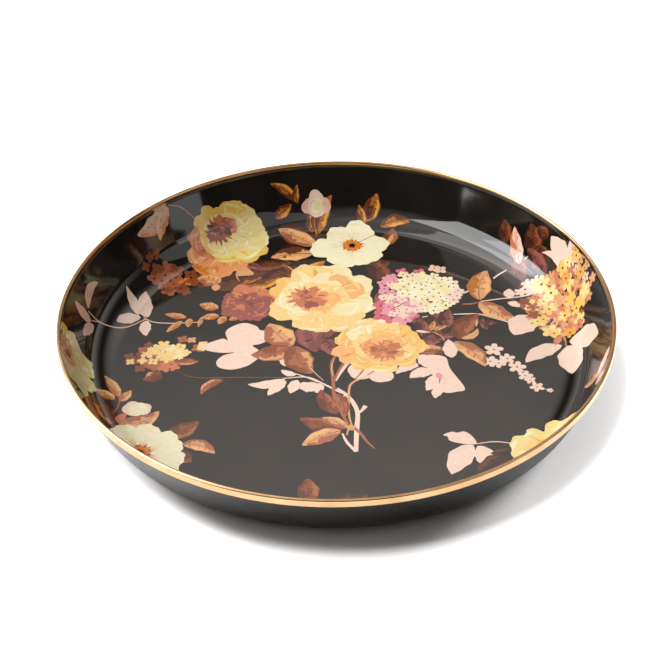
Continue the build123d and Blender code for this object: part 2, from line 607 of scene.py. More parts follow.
def blossom(art, centre, size, turn, tones, seed, petals=6):
    """An open blossom: broad petals, blushed towards a ragged crown of stamens and a dark eye."""
    body, warm, blush = tones
    rng = np.random.default_rng(seed)
    for k in rng.permutation(petals):
        direction = turn + 2 * np.pi * (k + rng.uniform(-0.10, 0.10)) / petals
        outer = size * rng.uniform(0.88, 1.08)
        spread = np.pi / petals * rng.uniform(1.05, 1.2)
        art.lay(petal(centre, direction, size * 0.05, outer, spread, rng, 0.045, 21), body)
        for tone, reach in ((warm, 0.72), (blush, 0.50)):
            if rng.random() < 0.75:
                art.lay(brushed_fan(centre, direction + rng.uniform(-0.25, 0.25), size * 0.2, outer * reach,
                                    spread * rng.uniform(0.3, 0.55), rng, 4), tone)
        aim = direction + rng.uniform(-0.2, 0.2)
        art.lay(crescent(centre, outer * 0.9, aim, spread * 0.45, size * 0.035), warm)
    spikes = np.linspace(0, 2 * np.pi, STAMENS + 1)[:-1]
    ragged = size * np.where(np.arange(STAMENS) % 2, 0.31, 0.22) * rng.uniform(0.85, 1.12, STAMENS)
    art.lay(centre + ragged * np.exp(1j * spikes), "orange")
    art.lay(blob(centre + size * 0.02, size * 0.15, 7, 0.30, turn + 0.4, 0.9), "amber")
    for k in range(9):
        at = centre + size * 0.22 * cmath.exp(1j * (turn + k * DOT_STEP))
        art.lay(blob(at, size * 0.028, 0, 0, 0, 1, 8), "rust")
    art.lay(blob(centre, size * 0.10, 5, 0.3, turn, 1.1), "umber")
    art.lay(blob(centre, size * 0.07, 4, 0.3, turn + 0.5, 1.1), "ink")


def floret(art, at, size, tone, turn, petals=4, eye="umber"):
    """A small flower of round petals with a dark eye."""
    art.lay(blob(at, size * 1.06, petals, 0.50, turn, 1.0, 30), tone)
    if eye:
        art.lay(blob(at, size * 0.16, 0, 0, 0, 1, 8), eye)


TRIES = 12                    # places tried for each floret of a head


def cluster(art, centre, reach, count, size, tones, seed, lean=0.0, petals=4, eye="umber", gap=1.05):
    """A head of florets that fills an oval. The tones run from one side to the other."""
    rng = np.random.default_rng(seed)
    spots = []
    for _ in range(count * TRIES):
        if len(spots) == count:
            break
        r, a = math.sqrt(rng.random()), rng.uniform(0, 2 * np.pi)
        spot = complex(r * math.cos(a), r * math.sin(a))
        at = complex(spot.real * reach[0], spot.imag * reach[1])
        if all(abs(at - other[1]) > size * gap for other in spots):
            spots.append((spot, at))
    for spot, at in spots:
        place = centre + at * cmath.exp(1j * lean)
        drift = (spot.real * 0.5 + 0.5) * (len(tones) - 1) + rng.uniform(-0.8, 0.8)
        tone = tones[int(np.clip(round(drift), 0, len(tones) - 1))]
        floret(art, place, size * rng.uniform(0.85, 1.15), tone, rng.uniform(0, 1.5), petals,
               eye if rng.random() < 0.8 else None)


def leaves(art, tones, *rows):
    """Several leaves of the same tones. Each row is base, tip, width and then bend, if any."""
    for base, tip, width, *bend in rows:
        leaf(art, base, tip, width, tones, bend[0] if bend else 0.0)


def strokes(art, tone, *rows):
    """Several strokes of the same tone. Each row is the points and the widths."""
    for points, widths in rows:
        stroke(art, points, widths, tone)


# Tones of leaves: body, shade and light. A plain leaf has only its body.
PLAIN_BLUSH = ("blush", None, None)
PLAIN_TAN = ("tan", None, None)
TAN_LEAF = ("tan", "terracotta", "apricot")
HONEY_LEAF = ("tan", "ochre", "apricot")
CLAY_LEAF = ("terracotta", "rust", "tan")
OCHRE_LEAF = ("ochre", "umber", "gold")
RUST_LEAF = ("rust", "umber", "terracotta")
BROWN_LEAF = ("umber", "maroon", "rust")
DUSK_LEAF = ("mauve", "maroon", "dusk")


# ---------------------------------------------------------------- the bouquet
def back_leaves(art):
    """Dark leaves behind the roses."""
    art.begin("leaves_behind_roses")
    leaves(art, BROWN_LEAF, (-45+172j, -12+148j, 24), (-95+88j, -48+108j, 26, 0.1),
           (-70+118j, -35+124j, 16), (-60+92j, -30+118j, 22), (26+118j, 44+122j, 16),
           (-88+128j, -58+122j, 16), (40+96j, 28+126j, 18))
    leaves(art, OCHRE_LEAF, (-82+84j, -58+104j, 9, 0.1), (-74+92j, -44+104j, 13, -0.1),
           (-25+112j, -8+126j, 9), (-30+104j, -42+122j, 6))
    leaves(art, DUSK_LEAF, (-20+45j, -16+8j, 26), (-4+50j, -14+14j, 22), (36+84j, 38+44j, 16),
           (60+60j, 62+40j, 18), (-10+26j, 4+2j, 18), (-90+132j, -55+116j, 14))


def top_leaves(art):
    """Leaves and a bud on the far wall."""
    art.begin("far_wall_leaves")
    leaves(art, OCHRE_LEAF, (-32+193j, -58+206j, 9, -0.1), (-32+192j, -33+208j, 6, 0.1),
           (-50+178j, -37+191j, 10), (-18+166j, -20+187j, 6, 0.1), (-14+164j, -2+200j, 14, 0.1),
           (38+170j, 63+171j, 11, 0.16), (26+176j, 38+199j, 14), (24+172j, 21+191j, 8))
    leaf(art, 28+178j, 33+190j, 8, BROWN_LEAF)
    leaves(art, RUST_LEAF, (38+148j, 48+168j, 14, -0.1))
    leaf(art, 44+150j, 48+162j, 4, PLAIN_TAN)
    stroke(art, [-16+184j, -17+176j, -15+162j], [1.0, 0.8], "ochre")
    art.begin("far_wall_bud")
    for at, size, tone in ((-22+190j, 7, "shell"), (-9+191j, 7, "shell"), (-16+197j, 7.5, "blush"),
                           (-15+188j, 7.5, "blush"), (-16+191j, 6.8, "ivory")):
        art.lay(blob(at, size, 3, 0.15, 0.7 + size, 0.9), tone)
    art.lay(blob(-14+190j, 4.0, 5, 0.2), "cream")
    stroke(art, [-16+196j, -20+193j, -20+187j], [0.3, 1.0, 0.3], "pink")


def left_leaves_of_blossom(art):
    """The two broad leaves between the far rose and the blossom."""
    art.begin("blossom_leaves")
    leaf(art, -16+146j, -47+169j, 17, TAN_LEAF, -0.06)
    leaf(art, -18+136j, -52+131j, 19, ("tan", "umber", "apricot"), -0.08, side=-1)
    leaf(art, -9+125j, -27+113j, 9, ("amber", "ochre", "gold"), 0.08)
    stroke(art, [-27+113j, -34+106j], [0.8, 0.3], "ochre")
    stroke(art, [-40+120j, -34+112j, -30+106j], [0.9, 0.4], "umber")


def roses(art):
    """The full roses: five round the middle and one on each side wall."""
    pale, cream = ("cream", "butter", "ivory"), ("butter", "apricot", "cream")
    warm, gold = ("apricot", "peach", "butter"), ("butter", "gold", "cream")
    honey, amber = ("honey", "gold", "butter"), ("peach", "amber", "apricot")
    sunny, lemon = ("yellow", "gold", "lemon"), ("lemon", "yellow", "ivory")
    burnt = ("amber", "terracotta", "peach")
    dusky, dusk = ("salmon", "dusk", "peach"), ("dusk", "mauve", "salmon")
    art.begin("dusky_rose")
    rose(art, -66+70j, 25, -4+3j, 0.4,
         [(1.0, 8, (dusky, dusky, dusk, dusk, dusk)), (0.74, 6, (dusky, dusk, dusk)),
          (0.5, 5, (dusk, dusky, dusk))],
         ("mauve", "dusk", "salmon"), 11)
    art.begin("far_left_rose")
    rose(art, -94+131j, 25, 2+8j, 0.2, [(1.0, 8, (burnt, burnt, amber)), (0.7, 5, (amber, burnt))],
         ("terracotta", "amber", "gold"), 5)
    rose(art, -85+151j, 37, -12+8j, 1.1,
         [(1.0, 8, (lemon, lemon, sunny, sunny, dusky, amber, amber, sunny)),
          (0.80, 6, (lemon, sunny, sunny, sunny, dusky, amber, sunny, lemon)),
          (0.60, 5, (lemon, lemon, sunny, lemon)), (0.42, 5, (dusky, sunny, lemon))],
         ("umber", "dusk", "salmon"), 21)
    art.begin("middle_rose")
    rose(art, -8+75j, 43, -14+1j, 0.3,
         [(1.0, 8, (pale, pale, gold, honey, cream, cream, gold, cream, pale)),
          (0.80, 7, (warm, pale, honey, gold, pale, cream, cream, pale)),
          (0.62, 7, (cream, pale, gold, pale, cream, pale)), (0.44, 5, (cream, warm, pale, warm))],
         ("dusk", "salmon", "peach"), 32)
    art.begin("amber_rose")
    rose(art, 31+18j, 35, 5-9j, 0.9,
         [(1.0, 9, (honey, pale, pale, cream, honey, warm, honey, gold, honey, honey)),
          (0.80, 7, (honey, cream, pale, warm, warm, honey, gold)),
          (0.60, 6, (warm, honey, cream, warm, amber)), (0.44, 5, (warm, amber, warm))],
         ("terracotta", "salmon", "peach"), 43)
    art.begin("left_wall_rose")
    rose(art, -204-37j, 33, -12+10j, 0.5,
         [(1.0, 8, (lemon, lemon, sunny, amber, lemon, lemon)), (0.74, 6, (lemon, pale)),
          (0.48, 4, (sunny, amber))],
         ("umber", "ochre", "gold"), 54)
    art.begin("right_front_rose")
    rose(art, 153-106j, 35, 5-6j, 0.2,
         [(1.0, 9, (sunny, lemon, lemon, gold, sunny)), (0.78, 7, (lemon, gold, pale)),
          (0.58, 6, (sunny, honey)), (0.4, 4, (warm, amber))], ("terracotta", "peach", "amber"), 65)


def blossoms(art):
    """The two open blossoms."""
    art.begin("far_blossom")
    blossom(art, 14+147j, 32, 0.12, ("ivory", "cream", "blush"), 7)
    art.begin("near_left_blossom")
    leaves(art, RUST_LEAF, (-120-84j, -98-68j, 15, -0.05), (-112-100j, -100-110j, 12))
    leaf(art, -108-92j, -85-102j, 11, TAN_LEAF, 0.16)
    blossom(art, -137-100j, 33, 0.4, ("ivory", "cream", "shell"), 9, 7)


def hydrangea(art):
    """The pink and cream head beside the middle rose."""
    art.begin("pink_hydrangea")
    cluster(art, 47+60j, (15, 14), 16, 6.2, ("pink", "rose", "pink"), 71, 0.4)
    for at, tone in ((45+101j, "rose"), (53+109j, "rose"), (67+108j, "rose"), (38+76j, "pink"),
                     (53+46j, "pink"), (77+62j, "pink"), (42+67j, "pink"), (79+113j, "shell"),
                     (84+111j, "shell"), (82+95j, "blush")):
        floret(art, at, 5.0, tone, at.real, 4, "maroon")
    cluster(art, 66+82j, (32, 25), 74, 4.6, ("pink", "blush", "cream", "cream", "ivory", "blush"),
            72, -0.25, 4, "ink")
    cluster(art, 52+62j, (15, 11), 18, 4.4, ("pink", "blush", "pink", "blush"), 73, 0.2)
    cluster(art, 68+86j, (20, 14), 30, 4.6, ("cream", "ivory", "cream"), 74, -0.3, 4, "ink")
    stroke(art, [43+60j, 49+64j, 54+69j], [0.6, 1.0, 0.6], "mauve")


def right_side(art):
    """Leaves, berries and the yellow head on the right."""
    art.begin("right_stems")
    stroke(art, [95+79j, 101+80j, 107+84j], [1.6, 2.0, 1.0], "blush")
    stroke(art, [98+65j, 105+65j, 113+68j], [1.5, 1.5, 0.8], "ochre")
    strokes(art, "blush", ([112+68j, 128+71j, 142+73j, 158+76j, 176+72j], [1.0, 1.4, 1.6, 1.2]),
            ([125+98j, 131+104j, 142+108j, 158+110j], [1.8, 1.3, 0.9]),
            ([66+49j, 74+51j], [1.0, 1.0]),
            ([90+52j, 108+52j, 118+48j, 134+40j], [1.1, 1.4, 1.6, 1.4]))
    art.begin("right_leaves")
    leaf(art, 112+70j, 121+109j, 19, HONEY_LEAF, 0.08)
    leaf(art, 112+68j, 137+45j, 17, TAN_LEAF, -0.08)
    leaves(art, BROWN_LEAF, (141+130j, 148+148j, 14), (165+108j, 172+132j, 20),
           (176+96j, 172+112j, 9), (184+112j, 176+126j, 11))
    leaves(art, DUSK_LEAF, (148+92j, 142+122j, 17), (168+86j, 160+116j, 16), (140+80j, 152+92j, 9))
    leaf(art, 148+108j, 155+138j, 13, ("shell", "salmon", "blush"), 0.05)
    leaves(art, PLAIN_BLUSH, (183+78j, 172+105j, 6, -0.2), (196+82j, 187+111j, 17, 0.05),
           (199+78j, 210+96j, 9, 0.1), (135+72j, 136+84j, 9), (133+66j, 146+61j, 7),
           (150+48j, 134+25j, 22, -0.05))
    leaves(art, RUST_LEAF, (150+72j, 143+58j, 8), (151+70j, 152+52j, 8), (144+66j, 148+54j, 7))
    leaves(art, PLAIN_BLUSH, (168+11j, 139-8j, 14, -0.1), (172+9j, 171-24j, 20, 0.04),
           (174+13j, 203-8j, 20, 0.1))
    stroke(art, [168+28j, 171+18j, 171+9j], [1.4, 1.8, 0.8], "salmon")
    leaf(art, 168+22j, 163+12j, 6, ("salmon", None, None))
    leaf(art, 178-48j, 202-66j, 10, TAN_LEAF, 0.08)
    art.begin("yellow_head")
    cluster(art, 175+54j, (26, 31), 70, 4.6, ("salmon", "tan", "salmon", "terracotta"), 81, 0.1, 5, None)
    cluster(art, 152+82j, (9, 6), 5, 5.5, ("blush", "blush"), 84, 0.0, 5, None)
    cluster(art, 206+60j, (12, 26), 16, 5.0, ("tan", "shell", "tan"), 85, -0.2, 5, "umber", 1.5)
    cluster(art, 172+54j, (25, 34), 17, 6.6, ("butter", "lemon", "honey", "butter"), 82, 0.0, 5, "ink", 2.0)
    cluster(art, 195+60j, (15, 27), 16, 5.8, ("gold", "yellow", "lemon", "gold", "honey"),
            83, -0.15, 5, "ink", 1.75)
    for at, tone in ((164+26j, "honey"), (176+22j, "gold"), (158+44j, "honey"), (161+64j, "butter"),
                     (152+60j, "terracotta"), (146+66j, "rust"), (185+24j, "salmon"), (152+50j, "rust")):
        floret(art, at, 5.2, tone, at.imag, 5)
    art.begin("pale_berry_spray")
    stroke(art, [106+5j, 112+5j, 120+2j, 128-8j, 138-20j, 144-34j, 152-40j], [0.8, 0.9, 0.5], "blush")
    for at, size in ((117+8j, 7.0), (113-6j, 6.2), (119-8j, 5.5), (126-3j, 5.8), (132-13j, 6.6),
                     (137-23j, 5.6), (140-28j, 4.2), (144-36j, 5.2), (153-40j, 2.4)):
        floret(art, at, size, "blush", at.real, 5, "ochre")


def centre_right(art):
    """Brown leaves and blush shapes below the hydrangea."""
    art.begin("brown_leaves_right")
    leaves(art, DUSK_LEAF, (66+24j, 64+48j, 12), (76+34j, 76+58j, 13), (84+34j, 88+58j, 13, 0.1),
           (72+30j, 92+26j, 13), (108+42j, 122+40j, 7), (112+42j, 114+32j, 7), (110+42j, 112+46j, 5))
    leaf(art, 92+21j, 110+52j, 17, RUST_LEAF, 0.12)
    leaves(art, PLAIN_TAN, (94+22j, 107+34j, 6, -0.2), (106+36j, 108+46j, 2))
    leaf(art, 71+32j, 75+44j, 5, ("tan", "ochre", None))
    leaf(art, 73+33j, 84+38j, 5, ("tan", "terracotta", None))
    stroke(art, [68+30j, 74+29j, 79+24j, 81+20j], [1.6, 1.8, 1.2], "tan")
    leaf(art, 64+22j, 80+22j, 16, DUSK_LEAF)
    leaf(art, 60+6j, 82+8j, 17, ("terracotta", "umber", "tan"), side=-1)
    leaf(art, 60+32j, 70+30j, 3, PLAIN_BLUSH)
    art.begin("blush_leaves_right")
    leaves(art, PLAIN_BLUSH, (85-1j, 84+21j, 11), (60+2j, 71-15j, 13, 0.1))
    art.lay(spline([66+2j, 80+0j, 83-14j, 92-36j, 86-40j, 78-41j, 72-36j, 75-26j, 69-20j, 66-10j],
                   True), "blush")
    leaves(art, PLAIN_BLUSH, (71-17j, 53-24j, 11, -0.15), (70-21j, 64-38j, 10, 0.1),
           (76-34j, 70-47j, 8, -0.1), (60-10j, 43-19j, 8, -0.15), (60-9j, 51-6j, 4))
    leaf(art, 73-18j, 76-26j, 5, ("pink", None, None))
    stroke(art, [78-22j, 78-28j, 76-34j], [0.5, 0.9, 0.4], "shell")
    leaf(art, 88+18j, 109-12j, 15, TAN_LEAF, 0.10)
    stroke(art, [100+8j, 105+6j, 111+5j], [0.6, 0.8, 0.6], "terracotta")


def blush_flowers(art):
    """Flat blush shapes of flowers and sprigs on the floor."""
    art.begin("blush_flower_left")
    stroke(art, [-104+18j, -98+17j], [9, 12], "butter")
    art.lay(spline([-98+20j, -86+26j, -82+24j, -84+34j, -79+41j, -70+45j, -61+41j, -58+36j, -53+34j,
                    -51+25j, -57+19j, -63+17j, -58+11j, -58+3j, -62-3j, -68-8j, -78-11j, -87-8j,
                    -89-1j, -84+6j, -76+9j, -86+9j, -97+12j, -101+16j], True), "blush")
    art.begin("blush_flower_middle")
    for at, size, squash, turn in ((19-14j, 12, 0.85, 0.4), (32-20j, 9.5, 0.9, -0.3), (24-12j, 11, 0.7, 0)):
        art.lay(blob(at, size, 3, 0.12, turn, squash), "blush")
    stroke(art, [21-10j, 17-18j, 13-24j], [1.6, 1.3, 1.0], "terracotta")
    stroke(art, [30-12j, 22-20j, 14-25j], [1.3, 1.2, 1.0], "salmon")
    art.begin("blush_sprig_left")
    strokes(art, "blush", ([-40-22j, -22-21j, -10-29j, 0-37j, 6-41j], [0.8, 1.4, 1.8, 1.6]),
            ([-40-13j, -26-19j, -14-27j], [0.8, 1.1, 0.8]))
    leaves(art, PLAIN_BLUSH, (-38-23j, -65-28j, 9, 0.12), (-37-25j, -50-41j, 9, -0.05),
           (-29-24j, -34-39j, 9), (-26-27j, -22-38j, 9, 0.1), (-13-28j, -15-39j, 9),
           (-30-18j, -41-12j, 6, 0.1), (-38-8j, -43+1j, 5, -0.1))
    art.lay(blob(-19-32j, 6, 0, 0, 0, 0.9), "blush")
    art.begin("far_left_sprig")
    stroke(art, [-40-21j, -70-20j, -98-20j, -112-17j], [0.5, 0.9, 0.5], "rust")
    leaf(art, -83-23j, -98-39j, 8, CLAY_LEAF, -0.18)
    stroke(art, [-120-10j, -114-14j, -110-18j], [0.8, 0.5], "umber")


def middle_leaves(art):
    """The three broad leaves left of the stems."""
    art.begin("middle_leaves")
    leaf(art, -33+16j, -51+44j, 23, TAN_LEAF, 0.06)
    leaf(art, -34+15j, -64+6j, 19, CLAY_LEAF, 0.10, side=-1)
    leaf(art, -31+16j, -18-17j, 22, CLAY_LEAF, -0.10, side=-1)
    stroke(art, [-20-10j, -15-18j, -10-25j], [0.8, 0.5], "shell")


def stems(art):
    """Stems of the bouquet, with the leaves that they carry."""
    art.begin("blush_stems")
    strokes(art, "blush", ([0-34j, 6-41j, 11-50j, 14-62j, 13-80j, 12-102j], [1.6, 2.6, 3.2, 3.2, 3.6, 3.0]),
            ([14-62j, 17-59j, 20-54j], [2.6, 2.2, 3.4]), ([3-83j, 6-92j, 12-102j], [1.2, 2.2, 2.0]),
            ([9-3j, 4-13j, -1-26j], [3.2, 2.8, 0.8]), ([14-26j, 18-22j, 22-20j], [1.2, 1.4, 1.0]),
            ([6-41j, 3-45j, 1-48j], [1.4, 0.9, 0.4]))
    art.begin("brown_stems")
    stroke(art, [0+6j, -4-6j, -3-24j, -2-45j, 3-62j, 9-78j], [2.4, 2.2, 2.6, 2.8, 2.2, 1.6], "terracotta")
    stroke(art, [-2+0j, -4-10j, -3-20j], [0.6, 1.2, 0.6], "tan")
    stroke(art, [9-1j, 4-8j, 0-18j, -2-26j], [2.4, 2.0, 1.4], "terracotta")
    stroke(art, [14-25j, 9-32j, 8-48j, 8-64j, 10-76j], [1.8, 1.8, 1.6, 1.2], "tan")
    stroke(art, [10-75j, 16-84j, 20-92j, 25-99j], [2.6, 2.0, 1.0], "terracotta")
    stroke(art, [9-76j, 7-80j, 6-85j], [1.6, 1.0], "tan")
    leaf(art, 0-62j, -12-35j, 13, RUST_LEAF, 0.08)
    leaf(art, -1-40j, 5-66j, 9, ("terracotta", "rust", None), 0.08)
    leaf(art, 4-78j, -27-66j, 15, RUST_LEAF, 0.06)
    leaf(art, 6-78j, -11-66j, 9, TAN_LEAF, -0.08)
    leaf(art, 2-80j, -25-95j, 14, TAN_LEAF, -0.04)
    art.lay(blob(9-77j, 3.2, 5, 0.3, 0.2), "tan")


def left_side(art):
    """Florets, sprigs and leaves on the left."""
    art.begin("rust_head")
    leaves(art, BROWN_LEAF, (-112+108j, -98+124j, 16), (-108+92j, -96+110j, 14))
    cluster(art, -128+102j, (17, 16), 24, 6.4, ("rust", "terracotta", "rust", "amber"), 91, 0.2, 4, "maroon")
    for at in (-152+117j, -153+108j, -141+111j, -118+86j, -132+89j, -146+122j):
        floret(art, at, 4.2, "rust", at.real, 4, None)
    leaf(art, -92+97j, -110+104j, 17, TAN_LEAF, -0.1)
    leaf(art, -94+96j, -95+87j, 7, PLAIN_TAN)
    art.lay(spline([-79+108j, -78+120j, -75+123j, -70+117j, -65+109j, -72+107j], True), "tan")
    stroke(art, [-79+110j, -78+104j, -76+100j], [1.6, 0.5], "tan")
    art.begin("left_floret_spray")
    cluster(art, -133+2j, (20, 11), 20, 5.0, ("rust", "terracotta", "salmon", "rust"), 92, -0.15, 4, None)
    cluster(art, -128+11j, (13, 9), 12, 5.6, ("butter", "butter", "cream"), 93, -0.1, 5, None)
    for at, tone, size in ((-154+6j, "rust", 4.5), (-153+0j, "butter", 3.6), (-145+14j, "terracotta", 4.0),
                           (-141+20j, "rust", 3.6), (-116+26j, "terracotta", 4.4), (-109+25j, "tan", 3.6),
                           (-117+17j, "butter", 4.4), (-112+10j, "butter", 3.6),
                           (-104+15j, "terracotta", 4.8), (-145-8j, "rust", 4.4),
                           (-144+1j, "butter", 3.8), (-136+0j, "butter", 4.2)):
        floret(art, at, size, tone, at.real + at.imag, 4, "umber" if size > 4.1 else None)
    leaf(art, -132-10j, -142-21j, 13, ("rust", "umber", "tan"), 0.2)
    leaf(art, -120-1j, -102-1j, 8, CLAY_LEAF)
    art.begin("left_sprig")
    strokes(art, "shell", ([-106+47j, -124+46j, -140+48j, -148+54j], [0.9, 1.2, 1.0]),
            ([-146+52j, -160+42j, -178+38j, -196+36j], [0.9, 1.4, 1.4, 1.2]),
            ([-182+37j, -190+32j], [0.9, 0.7]))
    leaves(art, PLAIN_BLUSH, (-152+57j, -166+84j, 8, -0.06), (-145+54j, -149+86j, 12, 0.05),
           (-150+54j, -168+46j, 12, -0.12), (-145+50j, -144+31j, 9, -0.06))
    leaves(art, ("shell", None, None), (-197+38j, -195+67j, 9, 0.18), (-190+31j, -214+30j, 10, 0.06),
           (-186+30j, -195+10j, 9, -0.06))
    leaves(art, ("tan", "ochre", None), (-115+53j, -132+58j, 7), (-118+49j, -129+35j, 6),
           (-112+52j, -113+41j, 6), (-103+53j, -105+41j, 4), (-91+64j, -106+70j, 10),
           (-90+55j, -104+52j, 8), (-85+54j, -90+44j, 7), (-75+53j, -82+49j, 6))
    art.begin("far_left_wall_leaves")
    stroke(art, [-150+164j, -136+167j, -119+162j], [0.6, 0.9, 0.6], "salmon")
    leaf(art, -152+163j, -171+127j, 15, ("shell", "peach", "blush"), 0.10, 0.10, 1, False)
    leaf(art, -149+162j, -147+134j, 12, ("shell", "peach", "blush"), -0.10, 0.10, 1, False)
    leaf(art, -152+164j, -172+156j, 8, ("shell", None, None), 0.1)
    art.begin("left_wall_leaves")
    leaf(art, -180-44j, -153-80j, 22, ("umber", "maroon", "amber"), 0.10)
    leaf(art, -182-48j, -166-84j, 14, ("amber", "umber", "gold"), -0.08)
    leaves(art, HONEY_LEAF, (-157-40j, -170-17j, 8, -0.04), (-156-45j, -149-33j, 8),
           (-160-43j, -176-37j, 9, -0.1))
    stroke(art, [-156-44j, -157-52j, -160-60j], [0.8, 0.9, 0.6], "terracotta")
    leaf(art, -208-66j, -196-90j, 12, OCHRE_LEAF)
    art.begin("left_bud")
    leaf(art, -156-66j, -127-56j, 15, TAN_LEAF, -0.24)
    leaf(art, -153-70j, -149-58j, 7, ("salmon", None, None), 0.2)
    for at, size, tone in ((-146-53j, 8, "blush"), (-139-54j, 7, "blush"), (-142-54j, 7.5, "ivory")):
        art.lay(blob(at, size, 4, 0.14, size, 0.95), tone)


def front(art):
    """Leaves on the near floor, and sprays on the near wall."""
    art.begin("near_floor_leaves")
    leaf(art, -20-150j, -21-128j, 15, RUST_LEAF)
    leaf(art, -4-147j, 20-145j, 11, BROWN_LEAF, -0.1)
    stroke(art, [95-96j, 106-94j, 116-95j, 126-98j], [0.9, 1.1, 0.7], "shell")
    art.lay(spline([95-96j, 93-88j, 88-83j, 83-84j, 79-83j, 73-86j, 76-88j, 77-92j, 84-95j], True),
            "blush")
    leaves(art, PLAIN_BLUSH, (93-97j, 76-126j, 17, -0.06), (96-98j, 100-122j, 14, 0.10))
    leaves(art, ("maroon", "ink", "umber"), (118-108j, 92-128j, 18), (128-118j, 104-142j, 16),
           (120-104j, 104-106j, 8))
    art.begin("near_wall_sprays")
    leaves(art, RUST_LEAF, (-84-168j, -98-188j, 17), (-80-172j, -70-196j, 14, 0.1),
           (40-172j, 28-200j, 17, 0.1), (44-170j, 60-190j, 13))
    leaves(art, PLAIN_BLUSH, (-30-190j, -48-206j, 12), (-26-188j, -26-212j, 13), (-22-186j, -4-200j, 12),
           (126-150j, 134-172j, 13), (130-146j, 150-158j, 12), (196-60j, 214-44j, 11),
           (194-66j, 206-84j, 12))
    stroke(art, [-60-168j, -40-176j, -25-188j], [0.9, 1.3, 1.0], "blush")
    stroke(art, [100-140j, 116-146j, 130-148j], [0.9, 1.2, 0.8], "shell")
    cluster(art, 84-176j, (18, 12), 22, 5.6, ("butter", "cream", "gold"), 95, -0.4, 5)
    cluster(art, -124-158j, (16, 10), 18, 5.4, ("shell", "blush", "pink"), 96, -0.6, 4)
    blossom(art, 8-192j, 19, 0.2, ("ivory", "cream", "blush"), 97, 5)


def paint_dish(material):
    """Lay the whole painting from back to front and make its pieces."""
    art = Painting()
    for lay_some in (back_leaves, top_leaves, left_leaves_of_blossom, right_side, centre_right, left_side,
                     blush_flowers, middle_leaves, stems, front, roses, hydrangea, blossoms):
        lay_some(art)
    return make_pieces(art.coats, material)


# ---------------------------------------------------------------- the tray
TUCK = 2.0                    # how far the dish's outer skin runs up behind the trim
TRIM_GAP = 0.2                # between that skin and the inside of the trim
TRIM_HOLLOW = 0.4             # how far the trim's inside rises above the centre of its crown
LIP = 0.12                    # bevel on the trim's two edges


def make_tray():
    """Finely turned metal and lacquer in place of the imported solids."""
    trim_r, trim_z = TRIM_CENTRE
    shell = lathe("steel_dish", dish_rings(0.0, TRIM_LOW + TUCK)
                  + [(NECK_OUTER_R, trim_z)] + dish_rings(SHEET, trim_z)[::-1])
    lacquer = lathe("inside_lacquer_coat", dish_rings(FLOOR_DEPTH, trim_z) + dish_rings(SHEET, trim_z)[::-1])
    turns = np.radians(np.arange(0, 181, 9))
    crown = [(trim_r + TRIM_RADIUS * math.cos(t), trim_z + TRIM_RADIUS * math.sin(t)) for t in turns]
    inner_r = RIM_RADIUS - 2 * TRIM_RADIUS
    inner_low = trim_z - TRIM_INNER_LEG
    hollow_r = NECK_OUTER_R + TRIM_GAP
    section = [(hollow_r, TRIM_LOW), (RIM_RADIUS - LIP, TRIM_LOW), (RIM_RADIUS, TRIM_LOW + LIP)]
    section += crown
    section += [(inner_r, inner_low + LIP), (inner_r + LIP, inner_low), (NECK_INNER_R - COAT, inner_low)]
    section += [(NECK_INNER_R - COAT, trim_z + TRIM_HOLLOW), (hollow_r, trim_z + TRIM_HOLLOW)]
    trim = lathe("rim_trim_ring", section)
    for piece, node, slot, material in (
        (shell, "tray_shell", "shell_paint", satin_paint()),
        (lacquer, "inside_lacquer", "inside_lacquer", gloss_lacquer()),
        (trim, "rim_trim", "rim_metal", rim_gold()),
    ):
        piece.data.materials.append(material)
        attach(piece, "root")
        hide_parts(node)
    for piece in paint_dish(painted()):
        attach(piece, "root")


# ---------------------------------------------------------------- studio
LENS = 80.0                   # millimetres, on a 36 mm sensor
CAMERA_DISTANCE = 1.0472      # metres from the camera to the point it looks at
CAMERA_HEIGHT_ANGLE = math.radians(38.0)
CAMERA_ROLL = math.radians(-0.88)
LOOK_AT = Vector((-0.0011, -0.0325, TRIM_CENTRE[1] * MM))


def make_camera():
    """The camera, a little above the tray's front."""
    back = Vector((0, -math.cos(CAMERA_HEIGHT_ANGLE), math.sin(CAMERA_HEIGHT_ANGLE)))
    camera = bpy.data.cameras.new("camera")
    camera.lens = LENS
    camera.sensor_width = 36.0
    camera.clip_start = 0.05
    holder = bpy.data.objects.new("camera", camera)
    bpy.context.scene.collection.objects.link(holder)
    right = Vector((1, 0, 0))
    turn = Matrix((right, back.cross(right), back)).transposed().to_4x4()
    holder.matrix_world = Matrix.Translation(LOOK_AT + back * CAMERA_DISTANCE) @ turn @ Matrix.Rotation(
        CAMERA_ROLL, 4, "Z")
    bpy.context.scene.camera = holder


def softbox(name, direction, distance, size, radiance):
    """A rectangular light that faces the tray from a direction."""
    lamp = bpy.data.lights.new(name, "AREA")
    lamp.shape = "RECTANGLE"
    lamp.size, lamp.size_y = size
    lamp.energy = radiance * math.pi * size[0] * size[1]
    holder = bpy.data.objects.new(name, lamp)
    bpy.context.scene.collection.objects.link(holder)
    holder.location = Vector(direction).normalized() * distance
    holder.rotation_euler = holder.location.to_track_quat("Z", "Y").to_euler()
    return holder


MIX_A, MIX_B, MIX_RESULT = 4, 5, 1      # a Mix node's sockets for vectors
UP = (0, 0, 1)


